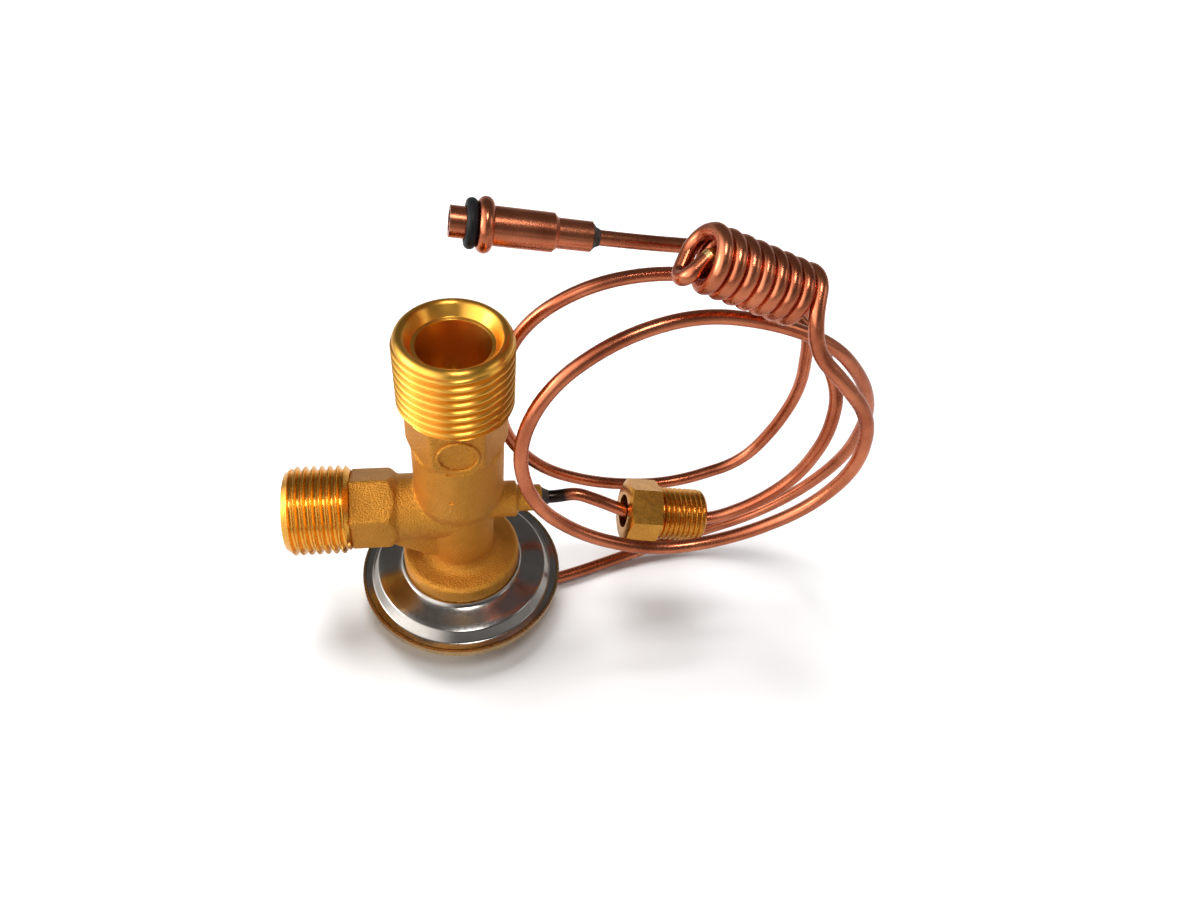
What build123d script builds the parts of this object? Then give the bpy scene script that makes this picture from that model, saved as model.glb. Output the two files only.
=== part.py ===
from build123d import *
import math
import os

# Thermostatic expansion valve, right-angle pattern, externally equalised, with a wound sensing coil.
# Millimetres. The valve axis is Z, the outlet port looks up, the inlet arm points to -X and the
# equaliser boss to +X. Z = 0 is the end of the full outlet thread, so everything else hangs below it.

# Outlet port and its wrench section
OUTLET_THREAD_DIAMETER = 19.05
OUTLET_THREAD_LENGTH = 13.3
OUTLET_BORE_DIAMETER = 11.8
OUTLET_BORE_DEPTH = 16.0
PORT_LIP_HEIGHT = 1.0
PORT_LIP_WIDTH = 0.9
PORT_LIP_BEVEL = 0.95
PORT_COUNTERSINK_DEPTH = 2.2
PORT_SHOULDER_WIDTH = 0.35
PORT_SHOULDER_DEPTH = 0.4
THREAD_RUNOUT = 0.8
OUTLET_HEX_FLATS = 15.0
OUTLET_HEX_TURNED_DIAMETER = 17.2
OUTLET_HEX_LENGTH = 9.4
HEX_LOWER_BEVEL = 1.4

# Body below the wrench section
BARREL_DIAMETER = 15.8
BARREL_ROUND_END = 5.0
BARREL_END_Z = -39.4
NECK_DIAMETER = 12.2
NECK_FOOT_FILLET = 1.6
FLANGE_DIAMETER = 22.0
FLANGE_TOP_Z = -52.2
FLANGE_THICKNESS = 3.8
FLANGE_EDGE_ROUND = 0.6
SPIGOT_DIAMETER = 13.6
SPIGOT_LENGTH = 1.8

# Inlet arm
INLET_AXIS_Z = -39.8
INLET_END_X = -30.4
INLET_THREAD_DIAMETER = 15.875
INLET_THREAD_END_X = -19.2
INLET_HEX_FLATS = 12.8
INLET_HEX_END_X = -11.0
INLET_HEX_BEVEL = 0.8
INLET_NECK_DIAMETER = 12.0
INLET_PORT_DIAMETER = 9.6
INLET_PORT_END_X = -14.0
INLET_PASSAGE_DIAMETER = 5.4
INLET_PASSAGE_END_X = 2.4
INLET_COUNTERSINK = 1.4
WEB_THICKNESS = 9.0
WEB_FOOT_Z = -49.0
FORGING_FILLET = 0.6
HEX_CORNER_ROUND = 0.5

# Equaliser boss
BOSS_AXIS_Z = -39.0
BOSS_DIAMETER = 6.7
BOSS_END_X = 10.3
COLLAR_DIAMETER = 4.9
COLLAR_END_X = 14.9
COLLAR_SOCKET_DEPTH = 3.0
LINE_LEAD_OUT = 3.0
EQUALISER_PORT_DIAMETER = 1.5
EQUALISER_DRILLING_X = 4.4

# Valve chamber, orifice and moving stem
CHAMBER_DIAMETER = 9.0
CHAMBER_END_Z = -34.0
SEAT_DIAMETER = 7.0
SEAT_THICKNESS = 2.9
ORIFICE_DIAMETER = 3.2
BALL_DIAMETER = 4.0
ROD_DIAMETER = 2.0
ROD_TIP_DIAMETER = 1.6
ROD_TIP_LENGTH = 6.0
ROD_WELL_DIAMETER = 4.0
ROD_WELL_END_Z = -44.0
SEAL_POCKET_DIAMETER = 5.0
SEAL_POCKET_HEIGHT = 2.8
SEAL_WIDTH = 1.4
RETAINER_THICKNESS = 1.0
CARRIER_DIAMETER = 6.6
CARRIER_HEIGHT = 3.4
CARRIER_SPIGOT_DIAMETER = 3.2
CARRIER_SPIGOT_HEIGHT = 1.2
STEM_TRAVEL = 0.8

# Spring and its plug
SPRING_MEAN_DIAMETER = 5.4
SPRING_WIRE_DIAMETER = 0.8
SPRING_LENGTH = 8.4
SPRING_TURNS = 5
SPRING_SIDES = 8
SEAT_RING_DIAMETER = 8.4
SEAT_RING_THICKNESS = 0.9
SEAT_RING_HOLE = 4.0
PLUG_THICKNESS = 2.6
PLUG_KEY_FLATS = 4.5
PLUG_BEVEL = 0.4

# Power head
HEAD_SHEET = 0.8
HEAD_RIM_Z = -59.8
COVER_RIM_DIAMETER = 37.4
COVER_STEP_FOOT_DIAMETER = 35.2
COVER_STEP_TOP_DIAMETER = 32.4
COVER_STEP_HEIGHT = 2.1
COVER_CUP_FOOT_DIAMETER = 26.8
COVER_CUP_TOP_DIAMETER = 22.6
LOWER_RIM_DIAMETER = 38.55
LOWER_LIP_HEIGHT = 0.75
LOWER_SHOULDER_DIAMETER = 34.6
LOWER_FOOT_DIAMETER = 24.4
HEAD_BOTTOM_Z = -68.6
DIAPHRAGM_THICKNESS = 0.2
DIAPHRAGM_MARGIN = 0.5
DIAPHRAGM_WAVE_RADII = (11.5, 14.5)
DIAPHRAGM_WAVE_WIDTH = 1.2
DIAPHRAGM_WAVE_HEIGHT = 0.35
PAD_DIAMETER = 18.0
PAD_THICKNESS = 1.0
PAD_HUB_DIAMETER = 4.4

# Strainer in the inlet
STRAINER_RIM_THICKNESS = 1.0
STRAINER_LENGTH = 9.0
STRAINER_DIAMETER = 6.6
STRAINER_WALL = 0.4
STRAINER_SLOTS = 8
STRAINER_SLOT_WIDTH = 0.9

# Copper lines
LINE_DIAMETER = 2.38
COIL_RADIUS = 3.85
COIL_TURNS = 7
COIL_SIDES = 4
COIL_TUCK = ((-2.5, -4.9, -0.4), (-2.6, -2.9, 2.1), (-0.9, 0.1, 0.5))
COIL_LEFT = (36.1, -4.0, 17.2)
COIL_RIGHT = (51.7, -4.0, 10.3)
END_SEAL_LENGTH = 1.6
EQUALISER_BRAZE_LENGTH = 1.3
EQUALISER_BRAZE_DIAMETER = 3.9
HEAD_BRAZE_LENGTH = 4.4
HEAD_BRAZE_DIAMETER = 6.4
ARC_SHARE = 0.48

# Coupling on the free end of the equaliser line
COUPLING_TIP = (0.0, 9.0, 14.7)
COUPLING_HEEL = (21.1, 9.0, 11.9)
COUPLING_SPIGOT_DIAMETER = 4.7
COUPLING_SLEEVE_DIAMETER = 5.9
COUPLING_TAIL_DIAMETER = 4.6
COUPLING_BEAD_DIAMETER = 8.35
COUPLING_BEAD_WIDTH = 2.4
COUPLING_BEAD_START = 4.0
COUPLING_SLEEVE_END = 15.4
COUPLING_TAPER = 0.7
COUPLING_BORE_DIAMETER = 3.2
COUPLING_TUBE_DEPTH = 4.0
COUPLING_LEAD_IN = 9.0
COUPLING_BRAZE_LENGTH = 1.3
O_RING_OUTER_DIAMETER = 7.5
O_RING_WIDTH = 1.7

# Loose nut on the equaliser line
NUT_HEX_FACE = (30.6, -1.2, -42.8)
NUT_THREAD_FACE = (45.8, -1.6, -45.0)
NUT_HEX_FLATS = 11.0
NUT_HEX_LENGTH = 6.2
NUT_THREAD_DIAMETER = 10.0
NUT_BORE_DIAMETER = 6.3
NUT_BEVEL = 0.7

# Fits
RUNNING_GAP = 0.03
SLIP_GAP = 0.05
BRAZE_GAP = 0.05


def turned(points, axis=Axis.Z):
    """Solid of revolution about the valve axis from (radius, height) points."""
    face = make_face(Polyline(*[(r, 0, z) for r, z in points], close=True))
    return revolve(face, axis)


def rod(diameter, z_low, z_high, x=0.0, y=0.0):
    height = z_high - z_low
    return Pos(x, y, z_low + height / 2) * Cylinder(diameter / 2, height)


def rod_x(diameter, x_low, x_high, z):
    length = x_high - x_low
    return Pos(x_low + length / 2, 0, z) * Rot(0, 90, 0) * Cylinder(diameter / 2, length)


def hexagon(flats, length):
    """Hexagonal bar about Z from 0 to length, with a flat facing -Y."""
    return extrude(RegularPolygon(flats / 2, 6, major_radius=False), length)


def frame_on(start, end):
    """Plane at start whose z axis runs to end."""
    return Plane(origin=start, z_dir=Vector(*end) - Vector(*start))


# Derived levels and radii, shared by the pieces that meet there
HEX_TOP_Z = -OUTLET_THREAD_LENGTH
HEX_END_Z = HEX_TOP_Z - OUTLET_HEX_LENGTH
FLANGE_END_Z = FLANGE_TOP_Z - FLANGE_THICKNESS
SPIGOT_END_Z = FLANGE_END_Z - SPIGOT_LENGTH
COVER_TOP_Z = FLANGE_END_Z
COVER_FLAT_Z = HEAD_RIM_Z + COVER_STEP_HEIGHT
DIAPHRAGM_TOP_Z = HEAD_RIM_Z - HEAD_SHEET
LOWER_RIM_TOP_Z = DIAPHRAGM_TOP_Z - DIAPHRAGM_THICKNESS
SEAT_TOP_Z = CHAMBER_END_Z
BALL_Z = SEAT_TOP_Z + math.sqrt(BALL_DIAMETER ** 2 - ORIFICE_DIAMETER ** 2) / 2 + RUNNING_GAP
BALL_BOTTOM_Z = BALL_Z - BALL_DIAMETER / 2
CARRIER_BOTTOM_Z = BALL_Z + BALL_DIAMETER / 8
CARRIER_SHOULDER_Z = CARRIER_BOTTOM_Z + CARRIER_HEIGHT
SPRING_TOP_Z = CARRIER_SHOULDER_Z + SPRING_LENGTH
SEAT_RING_TOP_Z = SPRING_TOP_Z + SEAT_RING_THICKNESS
PAD_BOTTOM_Z = DIAPHRAGM_TOP_Z + SLIP_GAP
PAD_TOP_Z = PAD_BOTTOM_Z + PAD_THICKNESS
PAD_HUB_TOP_Z = SPIGOT_END_Z - STEM_TRAVEL - 2 * SLIP_GAP
SEAL_POCKET_TOP_Z = SPIGOT_END_Z + SEAL_POCKET_HEIGHT
LINE_RADIUS = LINE_DIAMETER / 2


# ---------------------------------------------------------------- valve body

def port_turning(thread_diameter, bore_diameter, bore_depth, thread_length):
    """Threaded port seen along its own axis: bevelled lip, countersunk mouth, stepped bore."""
    outer = thread_diameter / 2
    bore = bore_diameter / 2
    lip = outer - PORT_LIP_BEVEL
    mouth = lip - PORT_LIP_WIDTH
    shoulder = bore + PORT_SHOULDER_WIDTH
    cone_foot = PORT_LIP_HEIGHT - PORT_COUNTERSINK_DEPTH
    blank = turned([(0, -thread_length), (outer - THREAD_RUNOUT, -thread_length),
                    (outer, -thread_length + THREAD_RUNOUT), (outer, 0),
                    (lip, PORT_LIP_HEIGHT), (0, PORT_LIP_HEIGHT)])
    hollow = turned([(0, -bore_depth), (bore, -bore_depth), (bore, cone_foot - PORT_SHOULDER_DEPTH),
                     (shoulder, cone_foot - PORT_SHOULDER_DEPTH), (shoulder, cone_foot),
                     (mouth, PORT_LIP_HEIGHT), (0, PORT_LIP_HEIGHT)])
    return blank, hollow


def wrench_section():
    """Hexagon under the outlet thread, turned down at its corners."""
    bar = Pos(0, 0, HEX_END_Z) * hexagon(OUTLET_HEX_FLATS, OUTLET_HEX_LENGTH)
    turned_blank = turned([(0, HEX_END_Z), (BARREL_DIAMETER / 2, HEX_END_Z),
                           (OUTLET_HEX_TURNED_DIAMETER / 2, HEX_END_Z + HEX_LOWER_BEVEL),
                           (OUTLET_HEX_TURNED_DIAMETER / 2, HEX_TOP_Z), (0, HEX_TOP_Z)])
    return bar & turned_blank


def barrel():
    """Forged barrel with a rounded lower end."""
    body = rod(BARREL_DIAMETER, BARREL_END_Z, HEX_END_Z)
    return fillet(body.edges().sort_by(Axis.Z)[0], BARREL_ROUND_END)


def lower_neck():
    """Neck and round flange that carries the power head, with the spigot under it."""
    neck = NECK_DIAMETER / 2
    flange = FLANGE_DIAMETER / 2
    spigot = SPIGOT_DIAMETER / 2
    round_edge = FLANGE_EDGE_ROUND
    foot = NECK_FOOT_FILLET
    profile = [(0, BARREL_END_Z + BARREL_ROUND_END), (neck, BARREL_END_Z + BARREL_ROUND_END),
               (neck, FLANGE_TOP_Z + foot), (neck + foot / 3, FLANGE_TOP_Z + foot / 3),
               (neck + foot, FLANGE_TOP_Z), (flange - round_edge, FLANGE_TOP_Z),
               (flange, FLANGE_TOP_Z - round_edge), (flange, FLANGE_END_Z),
               (spigot, FLANGE_END_Z), (spigot, SPIGOT_END_Z), (0, SPIGOT_END_Z)]
    return turned(profile)


def inlet_arm():
    """Threaded inlet, its hexagon and round neck, lying along -X."""
    hex_length = INLET_HEX_END_X - INLET_THREAD_END_X
    neck = rod_x(INLET_NECK_DIAMETER, INLET_HEX_END_X - INLET_HEX_BEVEL, 0, INLET_AXIS_Z)
    lying = Pos(INLET_THREAD_END_X, 0, INLET_AXIS_Z) * Rot(0, 90, 0)
    hex_bar = hexagon(INLET_HEX_FLATS, hex_length)
    hex_bar = fillet(hex_bar.edges().filter_by(Axis.Z), HEX_CORNER_ROUND)
    corner = INLET_HEX_FLATS / math.sqrt(3)
    blank = turned([(0, 0), (corner, 0), (corner, hex_length - 2 * INLET_HEX_BEVEL),
                    (INLET_NECK_DIAMETER / 2, hex_length), (0, hex_length)])
    return neck + lying * (hex_bar & blank)


def arm_web():
    """Forged web that runs from the underside of the arm down into the neck."""
    low_x = INLET_HEX_END_X - 2 * INLET_HEX_BEVEL
    under = INLET_AXIS_Z - INLET_NECK_DIAMETER / 2 + INLET_HEX_BEVEL
    outline = Polyline((low_x, 0, INLET_AXIS_Z), (low_x, 0, under),
                       (-NECK_DIAMETER / 2, 0, WEB_FOOT_Z), (0, 0, WEB_FOOT_Z),
                       (0, 0, INLET_AXIS_Z), close=True)
    return extrude(make_face(outline), WEB_THICKNESS / 2, dir=(0, 1, 0), both=True)


def forging():
    """The raw forging, with the die's fillets where its barrel, neck and arm run together."""
    raw = wrench_section() + barrel() + lower_neck() + inlet_arm() + arm_web() + equaliser_boss()
    junctions = raw.edges().filter_by(GeomType.BSPLINE)
    round_the_arm = junctions.filter_by_position(Axis.X, INLET_HEX_END_X, BOSS_DIAMETER / 2)
    round_the_arm = round_the_arm.filter_by_position(Axis.Z, FLANGE_TOP_Z, HEX_END_Z - FORGING_FILLET)
    return fillet(round_the_arm, FORGING_FILLET)


def equaliser_boss():
    boss = rod_x(BOSS_DIAMETER, 0, BOSS_END_X, BOSS_AXIS_Z)
    collar = rod_x(COLLAR_DIAMETER, BOSS_END_X, COLLAR_END_X, BOSS_AXIS_Z)
    collar = fillet(collar.edges().sort_by(Axis.X)[-1], NUT_BEVEL / 2)
    return boss + collar


def inner_passages():
    """Everything drilled out of the body below the outlet bore."""
    chamber = rod(CHAMBER_DIAMETER, CHAMBER_END_Z, -OUTLET_BORE_DEPTH + SLIP_GAP)
    seat_pocket = rod(SEAT_DIAMETER, SEAT_TOP_Z - SEAT_THICKNESS, CHAMBER_END_Z)
    rod_well = rod(ROD_WELL_DIAMETER, ROD_WELL_END_Z, SEAT_TOP_Z - SEAT_THICKNESS)
    guide = rod(ROD_DIAMETER + 2 * RUNNING_GAP, SPIGOT_END_Z, ROD_WELL_END_Z)
    seal_pocket = rod(SEAL_POCKET_DIAMETER, SPIGOT_END_Z, SEAL_POCKET_TOP_Z)
    inlet = rod_x(INLET_PASSAGE_DIAMETER, INLET_PORT_END_X, INLET_PASSAGE_END_X, INLET_AXIS_Z)
    cross = rod_x(EQUALISER_PORT_DIAMETER, EQUALISER_DRILLING_X, COLLAR_END_X, BOSS_AXIS_Z)
    socket_start = COLLAR_END_X - COLLAR_SOCKET_DEPTH
    socket = rod_x(LINE_DIAMETER + 2 * BRAZE_GAP, socket_start, COLLAR_END_X, BOSS_AXIS_Z)
    down = rod(EQUALISER_PORT_DIAMETER, SPIGOT_END_Z, BOSS_AXIS_Z, EQUALISER_DRILLING_X)
    return chamber + seat_pocket + rod_well + guide + seal_pocket + inlet + cross + socket + down


def valve_body():
    outlet, outlet_hollow = port_turning(OUTLET_THREAD_DIAMETER, OUTLET_BORE_DIAMETER,
                                         OUTLET_BORE_DEPTH, OUTLET_THREAD_LENGTH)
    arm_length = INLET_THREAD_END_X - INLET_END_X - PORT_LIP_HEIGHT
    port_depth = INLET_PORT_END_X - INLET_END_X - PORT_LIP_HEIGHT
    inlet, inlet_hollow = port_turning(INLET_THREAD_DIAMETER, INLET_PORT_DIAMETER,
                                       port_depth, arm_length)
    to_inlet = Pos(INLET_END_X + PORT_LIP_HEIGHT, 0, INLET_AXIS_Z) * Rot(0, -90, 0)
    body = forging() + outlet + to_inlet * inlet
    return body - outlet_hollow - to_inlet * inlet_hollow - inner_passages()


# ---------------------------------------------------------------- orifice and stem

def orifice_seat():
    """Hard seat pressed under the valve chamber."""
    outer = SEAT_DIAMETER / 2
    hole = ORIFICE_DIAMETER / 2
    bottom = SEAT_TOP_Z - SEAT_THICKNESS
    bevel = PLUG_BEVEL
    return turned([(hole, bottom), (outer - bevel, bottom), (outer, bottom + bevel),
                   (outer, SEAT_TOP_Z), (hole, SEAT_TOP_Z)])


def valve_ball():
    return Pos(0, 0, BALL_Z) * Sphere(BALL_DIAMETER / 2)


def ball_carrier():
    """Guide cup that holds the ball under the spring."""
    outer = CARRIER_DIAMETER / 2
    spigot = CARRIER_SPIGOT_DIAMETER / 2
    top = CARRIER_SHOULDER_Z + CARRIER_SPIGOT_HEIGHT
    cup = turned([(0, CARRIER_BOTTOM_Z), (outer - PLUG_BEVEL, CARRIER_BOTTOM_Z),
                  (outer, CARRIER_BOTTOM_Z + PLUG_BEVEL), (outer, CARRIER_SHOULDER_Z),
                  (spigot, CARRIER_SHOULDER_Z), (spigot, top), (0, top)])
    return cup - Pos(0, 0, BALL_Z) * Sphere(BALL_DIAMETER / 2 + RUNNING_GAP)


def push_rod():
    """Stainless rod from the diaphragm pad to the ball, thinner where it crosses the orifice."""
    tip_foot = BALL_BOTTOM_Z - RUNNING_GAP - ROD_TIP_LENGTH
    shank = rod(ROD_DIAMETER, PAD_TOP_Z, tip_foot)
    tip = rod(ROD_TIP_DIAMETER, tip_foot, BALL_BOTTOM_Z - RUNNING_GAP)
    return shank + tip


def rod_seal_ring():
    """Rubber ring round the rod, in the pocket of the spigot."""
    inner = ROD_DIAMETER / 2 + SLIP_GAP
    outer = SEAL_POCKET_DIAMETER / 2 - SLIP_GAP
    top = SEAL_POCKET_TOP_Z - SLIP_GAP
    bottom = top - SEAL_WIDTH
    corner = SEAL_WIDTH / 4
    return turned([(inner, bottom + corner), (inner + corner, bottom), (outer - corner, bottom),
                   (outer, bottom + corner), (outer, top - corner), (outer - corner, top),
                   (inner + corner, top), (inner, top - corner)])


def rod_seal_retainer():
    """Brass bush pressed in under the seal ring."""
    outer = SEAL_POCKET_DIAMETER / 2
    bore = ROD_DIAMETER / 2 + 2 * SLIP_GAP
    return turned([(bore, SPIGOT_END_Z), (outer, SPIGOT_END_Z),
                   (outer, SPIGOT_END_Z + RETAINER_THICKNESS),
                   (bore, SPIGOT_END_Z + RETAINER_THICKNESS)])


def superheat_spring():
    """Compression spring with its end turns laid close."""
    wire = SPRING_WIRE_DIAMETER
    low = CARRIER_SHOULDER_Z + wire / 2 + SLIP_GAP
    high = SPRING_TOP_Z - wire / 2 - SLIP_GAP
    sides = SPRING_SIDES
    steps = SPRING_TURNS * sides
    corner = SPRING_MEAN_DIAMETER / 2 / math.cos(math.pi / sides)
    points = []
    for step in range(steps + 1):
        angle = 2 * math.pi * step / sides
        share = min(max((step - sides / 2) / (steps - sides), 0.0), 1.0)
        points.append((corner * math.cos(angle), corner * math.sin(angle), low + (high - low) * share))
    path = Polyline(*points)
    start = Plane(origin=path @ 0, z_dir=path % 0)
    return sweep(start * Circle(wire / 2), path=path, transition=Transition.RIGHT)


def spring_seat_ring():
    """Washer between the spring and its plug."""
    outer = SEAT_RING_DIAMETER / 2
    hole = SEAT_RING_HOLE / 2
    return turned([(hole, SPRING_TOP_Z), (outer, SPRING_TOP_Z), (outer, SEAT_RING_TOP_Z),
                   (hole, SEAT_RING_TOP_Z)])


def spring_plug():
    """Ring plug set and staked in the chamber; its hexagon takes a key and lets the flow through."""
    outer = CHAMBER_DIAMETER / 2 - RUNNING_GAP
    bottom = SEAT_RING_TOP_Z + SLIP_GAP
    top = bottom + PLUG_THICKNESS
    blank = turned([(0, bottom), (outer - PLUG_BEVEL, bottom), (outer, bottom + PLUG_BEVEL),
                    (outer, top - PLUG_BEVEL), (outer - PLUG_BEVEL, top), (0, top)])
    return blank - Pos(0, 0, bottom) * hexagon(PLUG_KEY_FLATS, PLUG_THICKNESS)


def inlet_strainer():
    """Thimble strainer pushed into the inlet port, with slots between its ribs."""
    rim = INLET_PORT_DIAMETER / 2
    outer = STRAINER_DIAMETER / 2
    inner = outer - STRAINER_WALL
    rim_end = STRAINER_RIM_THICKNESS
    cup = turned([(inner, 0), (rim, 0), (rim, rim_end), (outer, rim_end), (outer, STRAINER_LENGTH),
                  (0, STRAINER_LENGTH), (0, STRAINER_LENGTH - STRAINER_WALL),
                  (inner, STRAINER_LENGTH - STRAINER_WALL)])
    slot_length = STRAINER_LENGTH - 4 * STRAINER_RIM_THICKNESS
    slot = Pos(outer, 0, 2 * STRAINER_RIM_THICKNESS + slot_length / 2)
    slot = slot * Box(4 * STRAINER_WALL, STRAINER_SLOT_WIDTH, slot_length)
    for index in range(STRAINER_SLOTS):
        cup -= Rot(0, 0, 360 * index / STRAINER_SLOTS) * slot
    start = INLET_PORT_END_X - STRAINER_LENGTH - STRAINER_RIM_THICKNESS
    return Pos(start, 0, INLET_AXIS_Z) * Rot(0, 90, 0) * cup


# ---------------------------------------------------------------- power head

def head_upper_cover():
    """Stamped steel cover: flat under the flange, a shallow cup, a flat ring and a stepped rim."""
    hole = SPIGOT_DIAMETER / 2 + SLIP_GAP
    sheet = HEAD_SHEET
    top = [(hole, COVER_TOP_Z), (COVER_CUP_TOP_DIAMETER / 2, COVER_TOP_Z),
           (COVER_CUP_FOOT_DIAMETER / 2, COVER_FLAT_Z), (COVER_STEP_TOP_DIAMETER / 2, COVER_FLAT_Z),
           (COVER_STEP_FOOT_DIAMETER / 2, HEAD_RIM_Z), (COVER_RIM_DIAMETER / 2, HEAD_RIM_Z)]
    under = [(r - sheet / 3, z - sheet) for r, z in top[1:-1]]
    bottom = [(hole, COVER_TOP_Z - sheet), *under, (COVER_RIM_DIAMETER / 2, HEAD_RIM_Z - sheet)]
    return turned([*top, *reversed(bottom)])


def lower_cover_outline():
    """Outer profile of the lower cover, from the top of its lip to the middle of its bottom."""
    sheet = HEAD_SHEET
    rim = LOWER_RIM_DIAMETER / 2
    foot = LOWER_FOOT_DIAMETER / 2
    rim_bottom = LOWER_RIM_TOP_Z - sheet
    lip_top = HEAD_RIM_Z - sheet + LOWER_LIP_HEIGHT
    return [(rim, lip_top), (rim, rim_bottom + sheet / 2), (rim - sheet / 2, rim_bottom),
            (LOWER_SHOULDER_DIAMETER / 2, rim_bottom), (foot + sheet, HEAD_BOTTOM_Z + 2 * sheet),
            (foot, HEAD_BOTTOM_Z + sheet / 2), (foot - sheet, HEAD_BOTTOM_Z), (0, HEAD_BOTTOM_Z)]


def head_lower_cover():
    """Plated lower cover: rim lipped up round the steel, tapered wall, flat bottom to stand on."""
    sheet = HEAD_SHEET
    outside = lower_cover_outline()
    lip_top = outside[0][1]
    lip_inner = COVER_RIM_DIAMETER / 2 + 2 * SLIP_GAP
    shoulder = LOWER_SHOULDER_DIAMETER / 2
    foot = LOWER_FOOT_DIAMETER / 2
    inside = [(0, HEAD_BOTTOM_Z + sheet), (foot - sheet, HEAD_BOTTOM_Z + sheet),
              (foot, HEAD_BOTTOM_Z + 2 * sheet), (shoulder - sheet, LOWER_RIM_TOP_Z),
              (lip_inner, LOWER_RIM_TOP_Z), (lip_inner, lip_top)]
    shell = turned([*outside, *inside])
    start, entry = CAPILLARY_ROUTE[0], CAPILLARY_ROUTE[1]
    hole = frame_on(start, entry) * Pos(0, 0, LINE_DIAMETER)
    return shell - hole * Cylinder(LINE_RADIUS + BRAZE_GAP, 4 * LINE_DIAMETER)


def head_diaphragm():
    """Thin waved disc clamped between the covers."""
    half = DIAPHRAGM_THICKNESS / 2
    mid = DIAPHRAGM_TOP_Z - half
    line = [(0.0, mid)]
    for radius in DIAPHRAGM_WAVE_RADII:
        line.append((radius - DIAPHRAGM_WAVE_WIDTH / 2, mid))
        line.append((radius, mid - DIAPHRAGM_WAVE_HEIGHT))
        line.append((radius + DIAPHRAGM_WAVE_WIDTH / 2, mid))
    line.append((COVER_RIM_DIAMETER / 2 - DIAPHRAGM_MARGIN, mid))
    top = [(r, z + half) for r, z in line]
    bottom = [(r, z - half) for r, z in line]
    return turned([*top, *reversed(bottom)])


def diaphragm_pad():
    """Thrust pad that lies on the diaphragm and carries the rod on its hub."""
    disc = rod(PAD_DIAMETER, PAD_BOTTOM_Z, PAD_TOP_Z)
    disc = chamfer(disc.edges().sort_by(Axis.Z)[-1], PLUG_BEVEL)
    hub = rod(PAD_HUB_DIAMETER, PAD_TOP_Z, PAD_HUB_TOP_Z)
    socket = rod(ROD_DIAMETER, PAD_TOP_Z, PAD_HUB_TOP_Z)
    return disc + (hub - socket)


# ---------------------------------------------------------------- copper lines

def arc_radii(points):
    """Radius of the bend at each inner point, as large as the two runs beside it allow."""
    radii = []
    for before, here, after in zip(points, points[1:], points[2:]):
        back = Vector(*before) - Vector(*here)
        ahead = Vector(*after) - Vector(*here)
        turn = math.radians(180 - back.get_angle(ahead))
        radii.append(ARC_SHARE * min(back.length, ahead.length) / math.tan(turn / 2))
    return radii


def tube_along(points, diameter):
    """Round wire or tube bent along straight runs joined by tangent arcs."""
    path = FilletPolyline(*points, radius=arc_radii(points))
    start = Plane(origin=path @ 0, z_dir=path % 0)
    return sweep(start * Circle(diameter / 2), path=path)


# Capillary from the power head: along the ground, up at the right, then once round in front
CAPILLARY_ROUTE = [
    (11.0, -1.4, -66.6), (22.0, 1.1, -66.8), (36.0, 5.6, -66.6), (50.0, 7.8, -63.3),
    (61.5, 7.5, -57.5), (70.0, 6.0, -47.5), (75.0, 4.0, -35.0), (74.0, 1.5, -21.0),
    (69.5, -0.5, -11.5), (61.5, -1.5, -2.0), (50.0, -2.0, 3.6), (37.0, -2.3, 6.0),
    (24.5, -4.5, 3.5), (13.7, -7.5, -3.5), (9.0, -9.5, -15.0), (11.8, -11.0, -27.5),
    (21.5, -11.5, -36.5), (35.0, -11.8, -41.5), (49.0, -12.0, -38.5), (61.0, -12.2, -30.5),
    (66.7, -12.5, -19.5), (65.0, -12.5, -7.5), (58.0, -12.0, 0.5), (53.5, -10.5, 4.5)]

# Equaliser line: boss, loose nut, up at the right, once round behind, then to the coupling
EQUALISER_ROUTE = [
    (21.3, -0.3, -37.9), (26.2, -1.6, -39.3), (31.0, -2.3, -41.8), (46.0, -3.0, -45.1),
    (55.0, -3.5, -40.0), (62.0, -3.5, -32.0), (65.0, -3.0, -21.5), (65.0, -1.0, -13.0),
    (62.0, 3.0, -7.5), (57.0, 7.5, -2.5), (48.0, 11.0, 1.4), (35.0, 12.5, 2.8),
    (22.3, 12.5, 0.3), (12.0, 12.5, -7.3), (7.0, 12.5, -20.0), (8.5, 12.0, -34.5),
    (16.0, 12.0, -45.0), (28.0, 12.5, -50.9), (43.0, 12.5, -52.3), (58.0, 13.0, -46.5),
    (63.3, 13.5, -37.0), (65.8, 13.5, -26.0), (63.8, 13.5, -12.0), (59.5, 13.0, -1.5),
    (53.0, 12.0, 5.5), (43.0, 10.8, 8.4)]


def coil_frame():
    """Axis, front and upward directions of the sensing coil, which lies aslant."""
    axis = (Vector(*COIL_RIGHT) - Vector(*COIL_LEFT)).normalized()
    front = Vector(0, -1, 0)
    upward = axis.cross(front).normalized()
    if upward.Z < 0:
        upward = upward * -1
    return axis, front, upward


def coil_points():
    """Turns of the sensing coil from its right end to its left end, then the tucked-in end."""
    axis, front, upward = coil_frame()
    left, right = Vector(*COIL_LEFT), Vector(*COIL_RIGHT)
    pitch = (right - left).length / COIL_TURNS
    corner = COIL_RADIUS / math.cos(math.pi / COIL_SIDES)
    points = []
    for step in range(COIL_TURNS * COIL_SIDES + COIL_SIDES // 2 + 1):
        angle = 2 * math.pi * step / COIL_SIDES
        spoke = front * math.cos(angle) + upward * math.sin(angle)
        points.append(right - axis * (pitch * step / COIL_SIDES) + spoke * corner)
    for along, up, forward in COIL_TUCK:
        points.append(left + axis * along + upward * up + front * forward)
    return [tuple(point) for point in points]


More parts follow.
